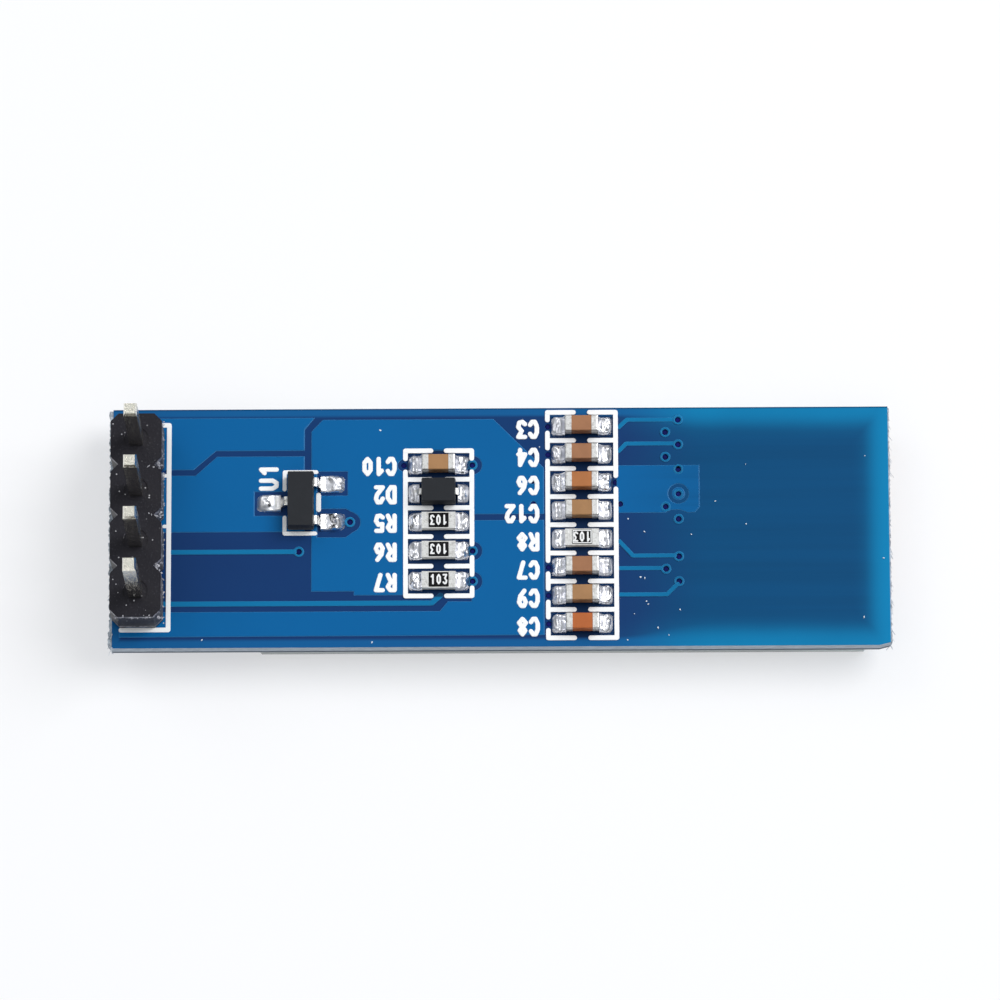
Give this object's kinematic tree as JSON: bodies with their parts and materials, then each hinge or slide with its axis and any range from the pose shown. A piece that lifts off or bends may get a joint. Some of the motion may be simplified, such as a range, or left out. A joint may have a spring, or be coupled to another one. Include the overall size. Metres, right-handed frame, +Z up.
{
  "type": "small oled module",
  "caption": "Narrow circuit board with a glass display panel taped under it and a row of square header pins standing up at one end.",
  "frame": {"origin": "under the middle of the board, on the face of the display", "axes": "X along the board, with the header at its low end; Y across the board; Z up, from the display's face to the tips of the pins"},
  "size_m": [0.038, 0.012, 0.0113],
  "materials": {
    "board": "glossy blue solder mask over woven glass laminate",
    "header_plastic": "matt black moulding",
    "pin_metal": "bright tin plate",
    "solder": "bright solder",
    "moulding": "fine matt black moulding",
    "tinned_lead": "matt tin plate",
    "capacitor_ceramic": "brown fired ceramic",
    "end_metal": "tin plate",
    "white_ceramic": "white alumina",
    "dark_glaze": "black glaze",
    "film": "dark glossy polarising film",
    "glass": "clear",
    "lit_layer": "thin bright metal film",
    "drying_sheet": "white",
    "silicon": "polished silicon",
    "flex": "amber film over copper",
    "tape": "foam tape"
  },
  "bodies": {
    "root": {"pcb": "board", "header_body": "header_plastic", "pin_1": "pin_metal", "pin_2": "pin_metal", "pin_3": "pin_metal", "pin_4": "pin_metal", "header_joints": "solder", "regulator_body": "moulding", "regulator_leads": "tinned_lead", "regulator_joints": "solder", "diode_body": "moulding", "diode_leads": "tinned_lead", "short_column_joints": "solder", "long_column_joints": "solder", "capacitor_1_ceramic": "capacitor_ceramic", "capacitor_2_ceramic": "capacitor_ceramic", "capacitor_3_ceramic": "capacitor_ceramic", "capacitor_4_ceramic": "capacitor_ceramic", "capacitor_5_ceramic": "capacitor_ceramic", "capacitor_6_ceramic": "capacitor_ceramic", "capacitor_7_ceramic": "capacitor_ceramic", "capacitor_8_ceramic": "capacitor_ceramic", "capacitor_1_ends": "end_metal", "capacitor_2_ends": "end_metal", "capacitor_3_ends": "end_metal", "capacitor_4_ends": "end_metal", "capacitor_5_ends": "end_metal", "capacitor_6_ends": "end_metal", "capacitor_7_ends": "end_metal", "capacitor_8_ends": "end_metal", "resistor_1_ceramic": "white_ceramic", "resistor_2_ceramic": "white_ceramic", "resistor_3_ceramic": "white_ceramic", "resistor_4_ceramic": "white_ceramic", "resistor_1_glaze": "dark_glaze", "resistor_2_glaze": "dark_glaze", "resistor_3_glaze": "dark_glaze", "resistor_4_glaze": "dark_glaze", "resistor_1_ends": "end_metal", "resistor_2_ends": "end_metal", "resistor_3_ends": "end_metal", "resistor_4_ends": "end_metal", "polarising_film": "film", "front_glass": "glass", "lit_layer": "lit_layer", "drying_sheet": "drying_sheet", "cover_glass": "glass", "driver_chip": "silicon", "flex_cable": "flex", "flex_joints": "solder", "mounting_tape": "tape"}
  },
  "joints": []
}
